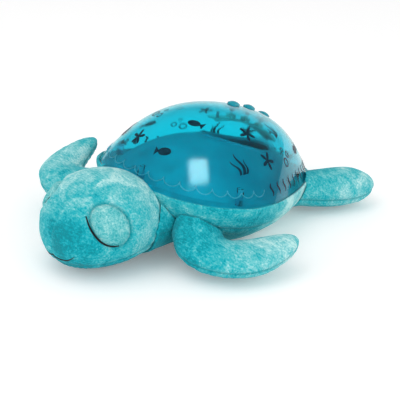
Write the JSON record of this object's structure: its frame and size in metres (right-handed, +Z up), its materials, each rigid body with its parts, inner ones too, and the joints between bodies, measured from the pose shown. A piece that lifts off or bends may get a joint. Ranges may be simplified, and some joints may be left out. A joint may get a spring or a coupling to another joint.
{
  "type": "plush night light",
  "caption": "Stuffed sea turtle night light with a translucent domed shell, push buttons along its spine and a turning wave projector inside.",
  "frame": {"origin": "on the floor under the middle of the shell, on the flat of the belly", "axes": "+Z up; +Y from head to tail; +X towards the turtle's left"},
  "size_m": [0.2701, 0.3113, 0.1082],
  "materials": {
    "plush": "short pile plush, mottled",
    "eyelid": "short pile plush, pale",
    "shell": "translucent, polished",
    "button": "polished",
    "tray": "moulded, fine texture",
    "reflector": "polished white",
    "clear_plastic": "clear, rippled",
    "steel": "zinc plated",
    "motor_can": "pressed steel",
    "acetal": "natural white",
    "cell_can": "plain sleeve",
    "nickel": "nickel plated",
    "circuit_board": "solder resist",
    "lamp": "clear lens",
    "component": "moulded black",
    "speaker": "paper cone in a steel frame",
    "zip_tape": "woven tape",
    "zip_coil": "nylon coil",
    "zip_metal": "lacquered"
  },
  "bodies": {
    "turtle": {"body_plush": "plush", "neck_plush": "plush", "head_plush": "plush", "front_flipper_left": "plush", "front_flipper_right": "plush", "rear_flipper_left": "plush", "rear_flipper_right": "plush", "eyelid_left": "eyelid", "eyelid_right": "eyelid", "shell_dome": "shell", "base_tray": "tray", "battery_door": "tray", "deck_plate": "tray", "projector_cup": "reflector", "disc_axle": "steel", "axle_clip": "steel", "case_screws": "steel", "board_screws": "steel", "bracket_screws": "steel", "motor_screws": "steel", "door_screw": "steel", "gear_motor": "motor_can", "battery_cells": "cell_can", "cell_contacts": "nickel", "light_board": "circuit_board", "control_board": "circuit_board", "lamps": "lamp", "board_components": "component", "button_switches": "component", "switch_bracket": "acetal", "speaker": "speaker", "zipper_tape": "zip_tape", "zipper_coil": "zip_coil", "zipper_stops": "zip_metal"},
    "front_button": {"button_front": "button"},
    "middle_button": {"button_middle": "button"},
    "rear_button": {"button_rear": "button"},
    "wave_wheel": {"wave_disc": "clear_plastic"},
    "motor_drive": {"drive_pinion": "acetal", "motor_shaft": "steel"},
    "zip_pull": {"zipper_slider": "zip_metal"}
  },
  "joints": [
    {"name": "front_button_press", "type": "slide", "parent": "turtle", "child": "front_button", "axis": [0, -0.3015, -0.9535], "range_m": [0, 0.0012], "stiffness_N_per_m": 600},
    {"name": "middle_button_press", "type": "slide", "parent": "turtle", "child": "middle_button", "axis": [0, -0.4303, -0.9027], "range_m": [0, 0.0012], "stiffness_N_per_m": 600},
    {"name": "rear_button_press", "type": "slide", "parent": "turtle", "child": "rear_button", "axis": [0, -0.5826, -0.8127], "range_m": [0, 0.0012], "stiffness_N_per_m": 600},
    {"name": "wave_disc_spin", "type": "hinge", "parent": "turtle", "child": "wave_wheel", "pos_m": [0, 0.01708, 0.04715], "axis": [0, 0.165, 0.9863], "continuous": true},
    {"name": "pinion_spin", "type": "hinge", "parent": "turtle", "child": "motor_drive", "pos_m": [0, -0.02442, 0.0541], "axis": [0, 0.165, 0.9863], "continuous": true},
    {"name": "zip_slide", "type": "slide", "parent": "turtle", "child": "zip_pull", "axis": [1, 0, 0], "range_m": [0, 0.0484]}
  ],
  "couplings": [
    {"joint": "pinion_spin", "follows": "wave_disc_spin", "ratio": -6}
  ]
}
